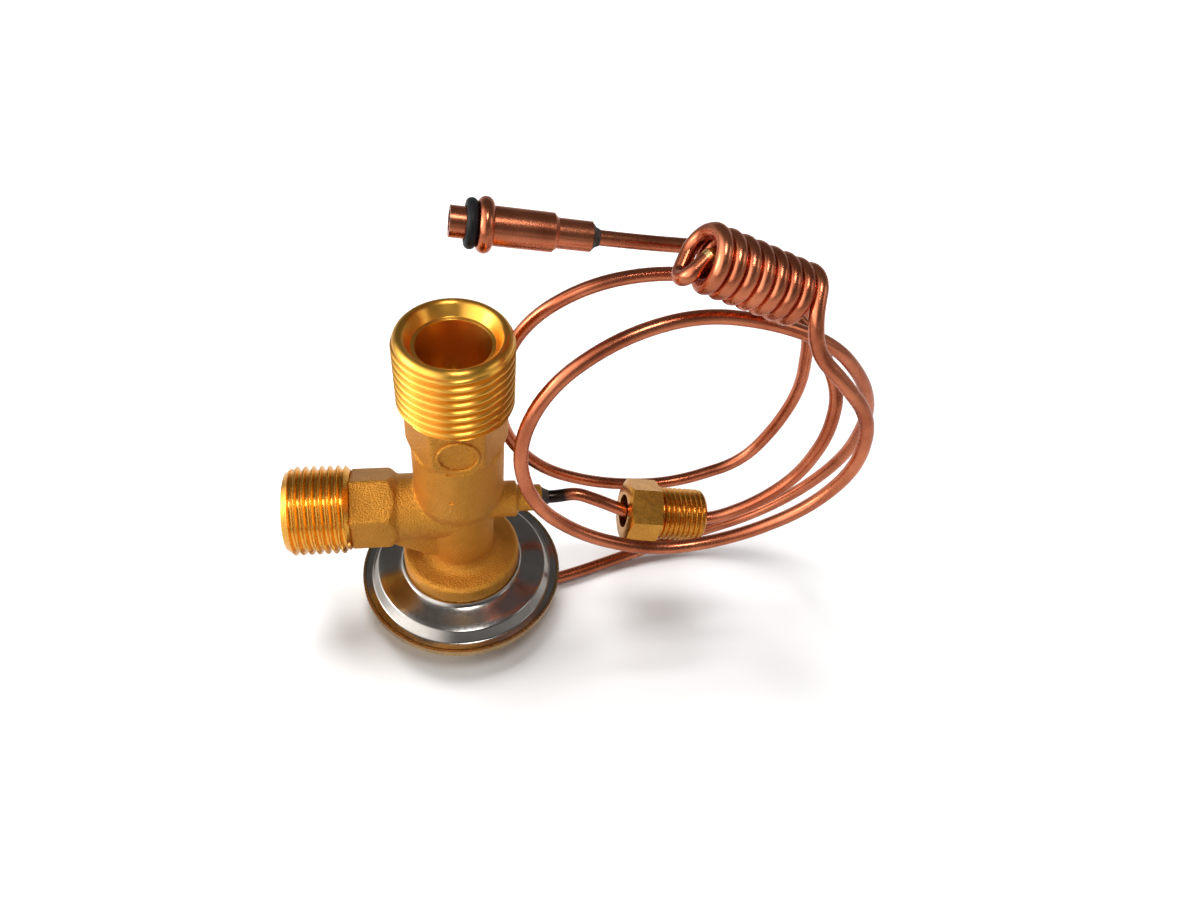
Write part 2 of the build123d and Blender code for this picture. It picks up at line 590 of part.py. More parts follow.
def capillary_tube():
    """One length of tube: the line from the power head and the coil wound on its end."""
    return tube_along([*CAPILLARY_ROUTE, *coil_points()], LINE_DIAMETER)


def coil_end_seal():
    """Rounded bead of braze that closes the tucked-in end."""
    tail = coil_points()[-2:]
    end = Vector(*tail[1])
    tip = end + (end - Vector(*tail[0]))
    bead = turned([(0, 0), (LINE_RADIUS, 0), (LINE_RADIUS, END_SEAL_LENGTH / 2),
                   (LINE_RADIUS / 2, END_SEAL_LENGTH), (0, END_SEAL_LENGTH)])
    return frame_on(tail[1], tuple(tip)) * bead


def equaliser_tube():
    """One length of tube from the boss to the coupling."""
    root = (COLLAR_END_X - COLLAR_SOCKET_DEPTH + SLIP_GAP, 0.0, BOSS_AXIS_Z)
    first_bend = (COLLAR_END_X + LINE_LEAD_OUT, 0.0, BOSS_AXIS_Z)
    axis = (Vector(*COUPLING_HEEL) - Vector(*COUPLING_TIP)).normalized()
    last_bend = Vector(*COUPLING_HEEL) + axis * COUPLING_LEAD_IN
    end = Vector(*COUPLING_HEEL) - axis * COUPLING_TUBE_DEPTH
    points = [root, first_bend, *EQUALISER_ROUTE, tuple(last_bend), tuple(end)]
    return tube_along(points, LINE_DIAMETER)


def braze_collar(start, along, foot_diameter, length):
    """Fillet of braze round a line, tapering away from the face it leaves."""
    bore = LINE_RADIUS + BRAZE_GAP
    collar = turned([(bore, 0), (foot_diameter / 2, 0), (bore + length / 4, length / 2),
                     (bore + BRAZE_GAP, length), (bore, length)])
    return Plane(origin=start, z_dir=along) * collar


def equaliser_braze():
    face = (COLLAR_END_X, 0.0, BOSS_AXIS_Z)
    return braze_collar(face, (1, 0, 0), EQUALISER_BRAZE_DIAMETER, EQUALISER_BRAZE_LENGTH)


def coupling_axis():
    return frame_on(COUPLING_TIP, COUPLING_HEEL)


def coupling_length():
    return (Vector(*COUPLING_HEEL) - Vector(*COUPLING_TIP)).length


def coupling_stub():
    """Formed copper coupling: plain spigot, rolled bead, sleeve and the tail that takes the line."""
    length = coupling_length()
    spigot = COUPLING_SPIGOT_DIAMETER / 2
    sleeve = COUPLING_SLEEVE_DIAMETER / 2
    tail = COUPLING_TAIL_DIAMETER / 2
    bore = COUPLING_BORE_DIAMETER / 2
    line = LINE_RADIUS + BRAZE_GAP
    bead_end = COUPLING_BEAD_START + COUPLING_BEAD_WIDTH
    tail_start = COUPLING_SLEEVE_END + COUPLING_TAPER
    stop = length - COUPLING_TUBE_DEPTH - 2 * SLIP_GAP
    body = turned([(bore, 0), (spigot, 0), (spigot, COUPLING_BEAD_START),
                   (sleeve, COUPLING_BEAD_START), (sleeve, COUPLING_SLEEVE_END), (tail, tail_start),
                   (tail, length), (line, length), (line, stop), (bore, stop)])
    bead_radius = COUPLING_BEAD_WIDTH / 2
    bead_centre = COUPLING_BEAD_DIAMETER / 2 - bead_radius
    bead = Pos(0, 0, (COUPLING_BEAD_START + bead_end) / 2) * Torus(bead_centre, bead_radius)
    web = turned([(sleeve - SLIP_GAP, COUPLING_BEAD_START), (bead_centre, COUPLING_BEAD_START),
                  (bead_centre, bead_end), (sleeve - SLIP_GAP, bead_end)])
    return coupling_axis() * (body + bead + web)


def coupling_braze():
    along = Vector(*COUPLING_HEEL) - Vector(*COUPLING_TIP)
    return braze_collar(COUPLING_HEEL, along, COUPLING_TAIL_DIAMETER, COUPLING_BRAZE_LENGTH)


def coupling_o_ring():
    """Rubber ring on the spigot, up against the bead."""
    inner = COUPLING_SPIGOT_DIAMETER / 2
    half_height = (O_RING_OUTER_DIAMETER / 2 - inner) / 2
    section = Plane.XZ * Pos(inner + half_height, 0) * Ellipse(half_height, O_RING_WIDTH / 2)
    ring = revolve(section, Axis.Z)
    return coupling_axis() * Pos(0, 0, COUPLING_BEAD_START - O_RING_WIDTH / 2) * ring


def tube_nut():
    """Loose male nut: hexagon towards the valve, thread away from it, bore over the coupling."""
    length = (Vector(*NUT_THREAD_FACE) - Vector(*NUT_HEX_FACE)).length
    corner = NUT_HEX_FLATS / math.sqrt(3)
    flats = NUT_HEX_FLATS / 2
    hex_blank = turned([(0, 0), (flats - NUT_BEVEL / 2, 0), (corner, NUT_BEVEL),
                        (corner, NUT_HEX_LENGTH), (0, NUT_HEX_LENGTH)])
    head = hexagon(NUT_HEX_FLATS, NUT_HEX_LENGTH) & hex_blank
    thread = NUT_THREAD_DIAMETER / 2
    shank = turned([(0, NUT_HEX_LENGTH), (thread, NUT_HEX_LENGTH), (thread, length - NUT_BEVEL),
                    (thread - NUT_BEVEL, length), (0, length)])
    bore = Pos(0, 0, length / 2) * Cylinder(NUT_BORE_DIAMETER / 2, 2 * length)
    return frame_on(NUT_HEX_FACE, NUT_THREAD_FACE) * (head + shank - bore)


def capillary_braze():
    """Collar of braze where the capillary leaves the tapered wall of the lower cover."""
    start = Vector(*CAPILLARY_ROUTE[0])
    along = (Vector(*CAPILLARY_ROUTE[1]) - start).normalized()
    root = start + along * (LOWER_FOOT_DIAMETER / 2 - start.X)
    collar = braze_collar(tuple(root), along, HEAD_BRAZE_DIAMETER, HEAD_BRAZE_LENGTH)
    lip_top = lower_cover_outline()[0][1]
    return collar - turned([(0, lip_top), *lower_cover_outline()])


NODES = {
    "valve_body": valve_body,
    "orifice_seat": orifice_seat,
    "valve_ball": valve_ball,
    "ball_carrier": ball_carrier,
    "push_rod": push_rod,
    "rod_seal_ring": rod_seal_ring,
    "rod_seal_retainer": rod_seal_retainer,
    "superheat_spring": superheat_spring,
    "spring_seat_ring": spring_seat_ring,
    "spring_plug": spring_plug,
    "inlet_strainer": inlet_strainer,
    "head_upper_cover": head_upper_cover,
    "head_lower_cover": head_lower_cover,
    "head_diaphragm": head_diaphragm,
    "diaphragm_pad": diaphragm_pad,
    "capillary_tube": capillary_tube,
    "capillary_braze": capillary_braze,
    "coil_end_seal": coil_end_seal,
    "equaliser_tube": equaliser_tube,
    "equaliser_braze": equaliser_braze,
    "coupling_stub": coupling_stub,
    "coupling_braze": coupling_braze,
    "coupling_o_ring": coupling_o_ring,
    "tube_nut": tube_nut,
}

os.makedirs("parts", exist_ok=True)
for name, make in NODES.items():
    export_step(make(), f"parts/{name}.step")
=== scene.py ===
import bmesh
import bpy
import math
from mathutils import Euler, Matrix, Vector


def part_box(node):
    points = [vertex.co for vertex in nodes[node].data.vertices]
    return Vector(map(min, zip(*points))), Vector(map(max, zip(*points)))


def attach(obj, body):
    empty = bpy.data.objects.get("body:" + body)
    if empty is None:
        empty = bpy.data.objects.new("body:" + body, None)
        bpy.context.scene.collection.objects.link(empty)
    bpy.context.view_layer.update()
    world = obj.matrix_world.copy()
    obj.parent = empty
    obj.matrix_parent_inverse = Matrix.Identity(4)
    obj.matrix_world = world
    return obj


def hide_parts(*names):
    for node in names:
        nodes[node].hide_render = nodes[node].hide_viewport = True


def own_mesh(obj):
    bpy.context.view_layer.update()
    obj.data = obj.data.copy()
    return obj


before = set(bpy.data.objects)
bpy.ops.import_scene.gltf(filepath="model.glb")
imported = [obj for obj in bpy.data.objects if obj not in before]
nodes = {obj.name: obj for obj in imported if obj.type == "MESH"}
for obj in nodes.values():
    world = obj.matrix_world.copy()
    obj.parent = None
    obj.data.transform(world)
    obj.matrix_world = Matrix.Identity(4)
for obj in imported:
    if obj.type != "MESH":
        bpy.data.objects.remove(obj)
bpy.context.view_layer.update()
scene = bpy.context.scene
scene.view_settings.view_transform = "Standard"


# ---------------------------------------------------------------- studio
# The valve stands on its diaphragm head on a plain white table. The camera looks down on the
# outlet from the front, as someone would who checks the threads.

MM = 0.001
table_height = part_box("head_lower_cover")[0].z

camera_data = bpy.data.cameras.new("studio_camera")
camera_data.sensor_width = 36.0
camera_data.lens = 27.262
camera_data.clip_start = 0.005
camera = bpy.data.objects.new("studio_camera", camera_data)
camera.location = (0.12 * MM, -105.57 * MM, 91.92 * MM)
camera.rotation_euler = Euler([math.radians(angle) for angle in (42.177, -5.102, -7.559)], "XYZ")
scene.collection.objects.link(camera)
scene.camera = camera


def feed(tree, socket, value):
    """Sets an input socket to a value, or links it when the value is an output socket."""
    if isinstance(value, bpy.types.NodeSocket):
        tree.links.new(value, socket)
    else:
        socket.default_value = value


def mapped(tree, value, source, target, smooth=False):
    """Output of a node that maps value from the range source onto the range target."""
    node = tree.nodes.new("ShaderNodeMapRange")
    node.interpolation_type = "SMOOTHSTEP" if smooth else "LINEAR"
    feed(tree, node.inputs["Value"], value)
    for end, from_value, to_value in zip(("Min", "Max"), source, target):
        feed(tree, node.inputs["From " + end], from_value)
        feed(tree, node.inputs["To " + end], to_value)
    return node.outputs["Result"]


def calculated(tree, operation, *values):
    """Output of a math node over the values."""
    node = tree.nodes.new("ShaderNodeMath")
    node.operation = operation
    for socket, value in zip(node.inputs, values):
        feed(tree, socket, value)
    return node.outputs["Value"]


def measured(tree, operation, vector, other=None):
    """Number that a vector node gives for a vector, and for a second one if there is one."""
    node = tree.nodes.new("ShaderNodeVectorMath")
    node.operation = operation
    feed(tree, node.inputs[0], vector)
    if other is not None:
        feed(tree, node.inputs[1], other)
    return node.outputs["Value"]


def shader_material(name):
    """New node material with its Principled shader, ready for links."""
    material = bpy.data.materials.new(name)
    material.use_nodes = True
    tree = material.node_tree
    return material, tree, tree.nodes["Principled BSDF"]


def link_object(name, mesh):
    piece = bpy.data.objects.new(name, mesh)
    scene.collection.objects.link(piece)
    return piece


table_reach = 3.0
table_mesh = bpy.data.meshes.new("table")
table_mesh.from_pydata([(-table_reach, -table_reach, table_height),
                        (table_reach, -table_reach, table_height),
                        (table_reach, table_reach, table_height),
                        (-table_reach, table_reach, table_height)], [], [(0, 1, 2, 3)])
table = link_object("table", table_mesh)

# The table shows white to the eye and keeps the soft shadow of the valve. Metal mirrors it darker.
material, tree, table_shader = shader_material("white_table")
table_shader.inputs["Roughness"].default_value = 0.8
table_shader.inputs["Specular IOR Level"].default_value = 0.0
table_shader.inputs["Emission Color"].default_value = (1, 1, 1, 1)
seen = tree.nodes.new("ShaderNodeLightPath").outputs["Is Camera Ray"]
feed(tree, table_shader.inputs["Base Color"], mapped(tree, seen, (0.0, 1.0), (0.64, 0.98)))

# Far from the valve the lamps fade, so there the table's own white takes over.
place = tree.nodes.new("ShaderNodeTexCoord").outputs["Object"]
far = mapped(tree, measured(tree, "LENGTH", place), (0.12, 0.60), (0.0, 1.0))
feed(tree, table_shader.inputs["Emission Strength"], calculated(tree, "MULTIPLY", far, seen))
table_mesh.materials.append(material)


def soft_lamp(name, place, aim, size, power, colour=(1, 1, 1)):
    """Square soft lamp that shines from place towards aim."""
    data = bpy.data.lights.new(name, "AREA")
    data.energy = power
    data.size = size
    data.color = colour
    lamp = bpy.data.objects.new(name, data)
    lamp.location = place
    lamp.rotation_euler = (Vector(aim) - Vector(place)).to_track_quat("-Z", "Y").to_euler()
    scene.collection.objects.link(lamp)
    return lamp


# The strongest lamp stands behind on the left and throws the shadow forward; metal doesn't mirror
# it. The other three are what metal mirrors: one above, one low on each side.
back_lamp = soft_lamp("back_lamp", (-0.08, 0.24, 0.74), (0.03, 0, -0.04), 0.42, 7.4)
back_lamp.visible_glossy = False
soft_lamp("overhead_lamp", (0.03, -0.13, 0.38), (0.02, 0, -0.04), 0.10, 0.46)
soft_lamp("right_lamp", (0.32, -0.10, 0.16), (0.01, 0, -0.03), 0.14, 0.08)
soft_lamp("left_lamp", (-0.34, -0.02, 0.12), (0.01, 0, -0.03), 0.14, 0.42, (1.0, 0.98, 0.95))

# The room is dim and looks white behind the valve. Metal mirrors a window low down on the left and
# the white sweep at the horizon.
room_glow = 0.13
world = bpy.data.worlds.new("room")
scene.world = world
world.use_nodes = True
tree = world.node_tree
background = tree.nodes["Background"]
background.inputs["Color"].default_value = (1, 1, 1, 1)
direction = tree.nodes.new("ShaderNodeTexCoord").outputs["Generated"]
toward_window = measured(tree, "DOT_PRODUCT", direction, (-0.92, -0.28, 0.27))
window = mapped(tree, toward_window, (0.50, 0.94), (0.0, 2.3), smooth=True)
split_direction = tree.nodes.new("ShaderNodeSeparateXYZ")
feed(tree, split_direction.inputs["Vector"], direction)
sweep = mapped(tree, split_direction.outputs["Z"], (0.10, 0.34), (0.30, 0.0), smooth=True)
ray = tree.nodes.new("ShaderNodeLightPath")
mirrored = calculated(tree, "MULTIPLY_ADD", calculated(tree, "ADD", window, sweep),
                      ray.outputs["Is Glossy Ray"], room_glow)
feed(tree, background.inputs["Strength"],
     calculated(tree, "ADD", mirrored, ray.outputs["Is Camera Ray"]))


# ---------------------------------------------------------------- valve body forging
# The body is a hot brass forging, shot-blasted to a fine sandy skin. Both port ends are turned
# away here, because they are machined bright and are made in the next sections.

hexagon_top = -13.3 * MM
inlet_thread_end = -19.2 * MM
trim = 0.05 * MM
weld = 0.001 * MM


def fine_grain_group():
    """Speckled skin of a metal surface: a colour that wanders, a roughness and a fine relief."""
    group = bpy.data.node_groups.new("fine_grain", "ShaderNodeTree")
    for kind, names in (("NodeSocketColor", ("Colour", "Darker")),
                        ("NodeSocketFloat", ("Grain per metre", "Patches per metre",
                                             "Roughness low", "Roughness high"))):
        for name in names:
            group.interface.new_socket(name, in_out="INPUT", socket_type=kind)
    for name, kind in (("Colour", "NodeSocketColor"), ("Roughness", "NodeSocketFloat"),
                       ("Height", "NodeSocketFloat")):
        group.interface.new_socket(name, in_out="OUTPUT", socket_type=kind)
    given = group.nodes.new("NodeGroupInput").outputs
    result = group.nodes.new("NodeGroupOutput").inputs
    place = group.nodes.new("ShaderNodeTexCoord").outputs["Object"]

    def noise(scale, detail):
        node = group.nodes.new("ShaderNodeTexNoise")
        node.inputs["Detail"].default_value = detail
        feed(group, node.inputs["Vector"], place)
        feed(group, node.inputs["Scale"], scale)
        return node.outputs["Fac"]

    grain = noise(given["Grain per metre"], 3.0)
    patches = noise(given["Patches per metre"], 4.0)
    tint = group.nodes.new("ShaderNodeMix")
    tint.data_type = "RGBA"
    feed(group, tint.inputs["Factor"], mapped(group, patches, (0.35, 0.65), (0.0, 1.0)))
    feed(group, tint.inputs["A"], given["Colour"])
    feed(group, tint.inputs["B"], given["Darker"])
    feed(group, result["Colour"], tint.outputs["Result"])
    feed(group, result["Roughness"],
         mapped(group, grain, (0.3, 0.7), (given["Roughness low"], given["Roughness high"])))
    feed(group, result["Height"], grain)
    return group


fine_grain = fine_grain_group()


def metal(name, colour, darker, grain, patches, roughness, relief, metallic=1.0,
          turned_about=None):
    """Metal with a wandering tint; relief is the depth of its grain in millimetres.

    grain and patches are per metre. turned_about is the axis of a piece that was cut on a lathe:
    its fine grooves draw each highlight out across them."""
    material, tree, shader = shader_material(name)
    skin = tree.nodes.new("ShaderNodeGroup")
    skin.node_tree = fine_grain
    skin.inputs["Colour"].default_value = (*colour, 1)
    skin.inputs["Darker"].default_value = (*darker, 1)
    skin.inputs["Grain per metre"].default_value = grain
    skin.inputs["Patches per metre"].default_value = patches
    skin.inputs["Roughness low"].default_value = roughness[0]
    skin.inputs["Roughness high"].default_value = roughness[1]
    bump = tree.nodes.new("ShaderNodeBump")
    bump.inputs["Distance"].default_value = relief * MM
    shader.inputs["Metallic"].default_value = metallic
    if turned_about:
        grooves = tree.nodes.new("ShaderNodeTangent")
        grooves.direction_type = "RADIAL"
        grooves.axis = turned_about
        shader.inputs["Anisotropic"].default_value = 0.7
        shader.inputs["Anisotropic Rotation"].default_value = 0.25
        feed(tree, shader.inputs["Tangent"], grooves.outputs["Tangent"])
    feed(tree, shader.inputs["Base Color"], skin.outputs["Colour"])
    feed(tree, shader.inputs["Roughness"], skin.outputs["Roughness"])
    feed(tree, bump.inputs["Height"], skin.outputs["Height"])
    feed(tree, shader.inputs["Normal"], bump.outputs["Normal"])
    return material


forged_brass = metal("forged_brass", (0.69, 0.305, 0.046), (0.62, 0.27, 0.038), 3400, 240,
                     (0.36, 0.50), 0.36)


def cut_copy(node, cuts):
    """Copy of a carried-over mesh without its materials, cut at planes and capped.

    Each cut is a point and a normal; the side that the normal points to is dropped."""
    mesh = nodes[node].data.copy()
    mesh.materials.clear()
    shape = bmesh.new()
    shape.from_mesh(mesh)
    bmesh.ops.remove_doubles(shape, verts=shape.verts[:], dist=weld)
    for point, normal in cuts:
        cut = bmesh.ops.bisect_plane(shape, geom=shape.verts[:] + shape.edges[:] + shape.faces[:],
                                     plane_co=point, plane_no=normal, clear_outer=True)
        rim = [edge for edge in cut["geom_cut"] if isinstance(edge, bmesh.types.BMEdge)]
        bmesh.ops.triangle_fill(shape, edges=rim, use_beauty=True)
    shape.to_mesh(mesh)
    shape.free()
    return mesh


def apply_modifiers(piece):
    """Replaces the piece's mesh by what its modifiers make of it."""
    graph = bpy.context.evaluated_depsgraph_get()
    made = bpy.data.meshes.new_from_object(piece.evaluated_get(graph))
    piece.modifiers.clear()
    piece.data = made


skin_step = 0.28 * MM
forging = link_object("forging", cut_copy("valve_body", [
    ((0, 0, hexagon_top - trim), (0, 0, 1)),
    ((inlet_thread_end + trim, 0, 0), (-1, 0, 0))]))
remesh = forging.modifiers.new("skin", "REMESH")
remesh.mode = "VOXEL"
remesh.voxel_size = skin_step
remesh.use_smooth_shade = True
soften = forging.modifiers.new("soften", "SMOOTH")
soften.factor = 0.5
soften.iterations = 2
apply_modifiers(forging)
forging.data.materials.append(forged_brass)
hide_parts("valve_body")
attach(forging, "valve")


# ---------------------------------------------------------------- cast marks
# The die leaves a plain raised ring on the front flat of the hexagon and two short dashes below it
# on the barrel.


def cast_mark(name, centre, outline, radius, closed):
    """Raised ridge of round section along an outline of (x, z) points about its centre."""
    curve = bpy.data.curves.new(name, "CURVE")
    curve.dimensions = "3D"
    curve.bevel_depth = radius * MM
    curve.use_fill_caps = True
    spline = curve.splines.new("POLY")
    spline.points.add(len(outline) - 1)
    for point, (x, z) in zip(spline.points, outline):
        point.co = ((centre[0] + x) * MM, centre[1] * MM, (centre[2] + z) * MM, 1)
    spline.use_cyclic_u = closed
    mark = link_object(name, curve)
    curve.materials.append(forged_brass)
    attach(mark, "valve")


ring_steps = 64
ring_radius = 3.3
ring = [(ring_radius * math.cos(2 * math.pi * step / ring_steps),
         ring_radius * math.sin(2 * math.pi * step / ring_steps)) for step in range(ring_steps)]
cast_mark("cast_ring", (0.0, -7.56, -18.75), ring, 0.34, True)
cast_mark("upper_dash", (-1.3, -7.80, -22.9), [(-0.9, 0), (0.9, 0)], 0.22, False)
cast_mark("lower_dash", (-1.3, -7.80, -30.3), [(-0.55, 0), (0.55, 0)], 0.25, False)


# ---------------------------------------------------------------- outlet port
# The outlet is turned from the forging: a rounded lip, a countersunk mouth for the flare, the
# bore, and a cut thread, 16 to the inch on 19.05 mm.

outlet_brass = metal("outlet_brass", (0.93, 0.47, 0.074), (0.90, 0.44, 0.064), 1400, 160,
                     (0.29, 0.32), 0.002, turned_about="Z")
crest_half_width = 0.05
flank_width = 0.36
thread_depth = 0.52


def thread_height(share):
    """Depth into the thread, 0 at the crest and 1 at the root, share of a pitch from the crest."""
    away = abs((share + 0.5) % 1.0 - 0.5)
    slope = min(max((away - crest_half_width) / flank_width, 0.0), 1.0)
    return slope * slope * (3.0 - 2.0 * slope)


def thread_envelope(radius, foot, foot_radius, foot_slope, bevel_depth, bevel_slope):
    """Largest radius at each height: run out at the thread's foot and bevelled at its mouth."""

    def largest(height):
        rising = foot_radius + (height - foot) * foot_slope
        falling = radius - max(height + bevel_depth, 0.0) * bevel_slope
        return min(radius, rising, falling)

    return largest


def in_metres(profile):
    return [(radius * MM, height * MM) for radius, height in profile]


def turned_port(name, major, pitch, low, high, crest, envelope, rings, sides=96, per_pitch=16):
    """Closed turned piece about Z: a helical thread from low to high, then the rings of the rest.

    crest is the height of a thread crest on the -Y side, envelope(height) the largest radius
    there, and rings the (radius, height) list that goes on from the top of the thread. Each column
    of points follows the helix, so that the crests and roots run along whole rows."""
    depth = thread_depth * pitch
    count = int(math.ceil((high - low) / pitch + 2)) * per_pitch
    vertices, columns = [], []
    for side in range(sides):
        turn = side / sides
        angle = 2 * math.pi * turn - math.pi / 2
        column = []
        for row in range(count):
            pitches = row / per_pitch + turn - count // per_pitch
            height = crest + pitch * (pitches + math.ceil((high - crest) / pitch + 1))
            share = row / per_pitch
            radius = major - depth * thread_height(share)
            held = min(max(height, low), high)
            radius = envelope(held) if held != height else min(radius, envelope(held))
            column.append((radius, held))
        column += rings
        columns.append(len(vertices))
        for radius, height in column:
            vertices.append((radius * math.cos(angle), radius * math.sin(angle), height))
    total = count + len(rings)
    faces = []
    for side in range(sides):
        here = columns[side]
        there = columns[(side + 1) % sides]
        shift = per_pitch if side == sides - 1 else 0
        for row in range(count - 1):
            far = min(row + shift, count - 1)
            next_far = min(row + 1 + shift, count - 1)
            faces.append((here + row, there + far, there + next_far, here + row + 1))
        for row in range(count - 1, total - 1):
            faces.append((here + row, there + row, there + row + 1, here + row + 1))
        faces.append((here + total - 1, there + total - 1, there, here))
    mesh = bpy.data.meshes.new(name)
    mesh.from_pydata(vertices, [], faces)
    shape = bmesh.new()
    shape.from_mesh(mesh)
    bmesh.ops.remove_doubles(shape, verts=shape.verts[:], dist=2 * weld)
    bmesh.ops.dissolve_degenerate(shape, edges=shape.edges[:], dist=weld)
    bmesh.ops.recalc_face_normals(shape, faces=shape.faces[:])
    shape.to_mesh(mesh)
    shape.free()
    return mesh


def smooth_by_angle(piece, degrees=32):
    """Smooth shading that keeps edges sharper than the angle."""
    piece.data.shade_smooth()
    shape = bmesh.new()
    shape.from_mesh(piece.data)
    for edge in shape.edges:
        if len(edge.link_faces) == 2 and edge.calc_face_angle(0) > math.radians(degrees):
            edge.smooth = False
    shape.to_mesh(piece.data)
    shape.free()


outlet_radius = 9.525 * MM
outlet_envelope = thread_envelope(outlet_radius, hexagon_top, 8.3 * MM, 2.2, 0.45 * MM, 0.7)
lip = [(9.22, 0.10), (9.05, 0.42), (8.82, 0.70), (8.54, 0.90), (8.22, 0.99), (7.95, 0.97),
       (7.68, 0.84), (7.42, 0.58)]
countersink = [(6.56, -1.04), (6.50, -1.12), (6.44, -1.15), (6.02, -1.20), (5.92, -1.26)]
outlet_bore = [(5.88, -1.40), (5.88, -15.9), (7.0, -15.9), (7.0, -13.4)]
outlet_mesh = turned_port("outlet_port", outlet_radius, 1.5875 * MM, hexagon_top - trim,
                          -0.02 * MM, -0.5 * MM, outlet_envelope,
                          in_metres(lip + countersink + outlet_bore))
outlet = link_object("outlet_port", outlet_mesh)
smooth_by_angle(outlet)
outlet_mesh.materials.append(outlet_brass)
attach(outlet, "valve")


# ---------------------------------------------------------------- inlet port
# The inlet is turned in the same way at the end of the arm, with a narrow flat lip and a thread
# 18 to the inch on 15.875 mm.

inlet_brass = metal("inlet_brass", (0.93, 0.46, 0.072), (0.90, 0.43, 0.062), 1400, 160,
                    (0.25, 0.29), 0.002, turned_about="X")
inlet_height = -39.8 * MM
inlet_mouth = -30.4 * MM
inlet_radius = 7.9375 * MM
inlet_lip = 1.0 * MM
inlet_length = inlet_thread_end - inlet_mouth - inlet_lip
inlet_envelope = thread_envelope(inlet_radius, -inlet_length, 7.0 * MM, 1.0, 0.40 * MM, 0.7)
inlet_rings = [(7.55, 0.12), (7.10, 0.70), (6.95, 0.92), (6.75, 1.00), (6.25, 1.00), (6.05, 0.92),
               (5.15, -1.10), (5.15, -1.55), (4.76, -1.62), (4.76, -15.2), (6.0, -15.2),
               (6.0, -10.3)]
inlet_mesh = turned_port("inlet_port", inlet_radius, 1.4111 * MM, -inlet_length - trim,
                         -0.02 * MM, -0.15 * MM, inlet_envelope, in_metres(inlet_rings))
inlet_mesh.transform(Matrix.Translation((inlet_mouth + inlet_lip, 0, inlet_height))
                     @ Matrix.Rotation(-math.pi / 2, 4, "Y"))
inlet = link_object("inlet_port", inlet_mesh)
smooth_by_angle(inlet)
inlet_mesh.materials.append(inlet_brass)
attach(inlet, "valve")


# ---------------------------------------------------------------- works inside the body
# Seat, ball, rod and spring are ground or drawn steel; the cup, the plug and the bushes are turned
# from brass bar.

ground_steel = metal("ground_steel", (0.62, 0.62, 0.63), (0.50, 0.50, 0.51), 2500, 300,
                     (0.18, 0.30), 0.01)
bar_brass = metal("bar_brass", (0.86, 0.60, 0.20), (0.76, 0.50, 0.14), 1500, 200,
                  (0.22, 0.34), 0.01)
spring_steel = metal("spring_steel", (0.42, 0.42, 0.44), (0.30, 0.30, 0.31), 2500, 400,
                     (0.25, 0.40), 0.01)
sieve_steel = metal("sieve_steel", (0.58, 0.58, 0.57), (0.48, 0.47, 0.46), 3000, 400,
                    (0.25, 0.38), 0.01)


def finish_node(name, material):
    """Gives a carried-over piece its material."""
    piece = nodes[name]
    piece.data.materials.clear()
    piece.data.materials.append(material)
    for polygon in piece.data.polygons:
        polygon.material_index = 0


for name in ("orifice_seat", "valve_ball", "push_rod", "spring_seat_ring", "head_diaphragm"):
    finish_node(name, ground_steel)
for name in ("ball_carrier", "rod_seal_retainer", "spring_plug", "diaphragm_pad"):
    finish_node(name, bar_brass)
finish_node("inlet_strainer", sieve_steel)

# The spring is copied into a mesh of its own, in spring steel. On the real valve it shortens
# against its plug as the stem lifts.
spring_mesh = nodes["superheat_spring"].data.copy()
spring_mesh.materials.clear()
spring_mesh.materials.append(spring_steel)
spring = link_object("coiled_spring", spring_mesh)
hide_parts("superheat_spring")
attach(spring, "valve")
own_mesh(spring)


# ---------------------------------------------------------------- diaphragm head
# Two pressed covers welded at the rim: plain stainless sheet above, yellow-plated sheet below.

pressed_steel = metal("pressed_steel", (0.42, 0.39, 0.36), (0.33, 0.30, 0.27), 1800, 180,
                      (0.16, 0.22), 0.001)
plated_yellow = metal("plated_yellow", (0.52, 0.34, 0.16), (0.42, 0.26, 0.11), 1800, 220,
                      (0.24, 0.36), 0.008)


def revolved(name, outline, sides=160):
    """Closed outline of (radius, height) in millimetres, turned about Z into a mesh."""
    count = len(outline)
    vertices, faces = [], []
    for side in range(sides):
        angle = 2 * math.pi * side / sides
        vertices += [(radius * MM * math.cos(angle), radius * MM * math.sin(angle), height * MM)
                     for radius, height in outline]
        here, there = side * count, (side + 1) % sides * count
        for row in range(count):
            ahead = (row + 1) % count
            faces.append((here + row, there + row, there + ahead, here + ahead))
    mesh = bpy.data.meshes.new(name)
    mesh.from_pydata(vertices, [], faces)
    shape = bmesh.new()
    shape.from_mesh(mesh)
    bmesh.ops.recalc_face_normals(shape, faces=shape.faces[:])
    shape.to_mesh(mesh)
    shape.free()
    return mesh


cover_top = [(6.90, -56.02), (11.30, -56.02), (11.45, -56.28), (11.62, -56.46), (11.90, -56.60),
             (12.60, -56.81), (13.60, -57.07), (14.80, -57.36), (16.05, -57.65), (16.20, -57.72),
             (16.36, -57.88), (17.28, -59.60), (17.44, -59.75), (17.70, -59.80), (18.68, -59.80)]
sheet_inward, sheet_down = 0.26, 0.72
cover_under = [(radius - sheet_inward, height - sheet_down)
               for radius, height in cover_top[-2:0:-1]]
cover_outline = cover_top + [(18.68, -60.55)] + cover_under + [(6.90, -56.72)]
cover = link_object("upper_cover", revolved("upper_cover", cover_outline))
smooth_by_angle(cover, 40)
cover.data.materials.append(pressed_steel)
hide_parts("head_upper_cover")
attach(cover, "valve")
finish_node("head_lower_cover", plated_yellow)


# ---------------------------------------------------------------- copper lines
# The capillary with its sensing coil and the equaliser line are drawn copper tube, bent by hand
# and tarnished a little brown. The ends that were brazed are scorched.


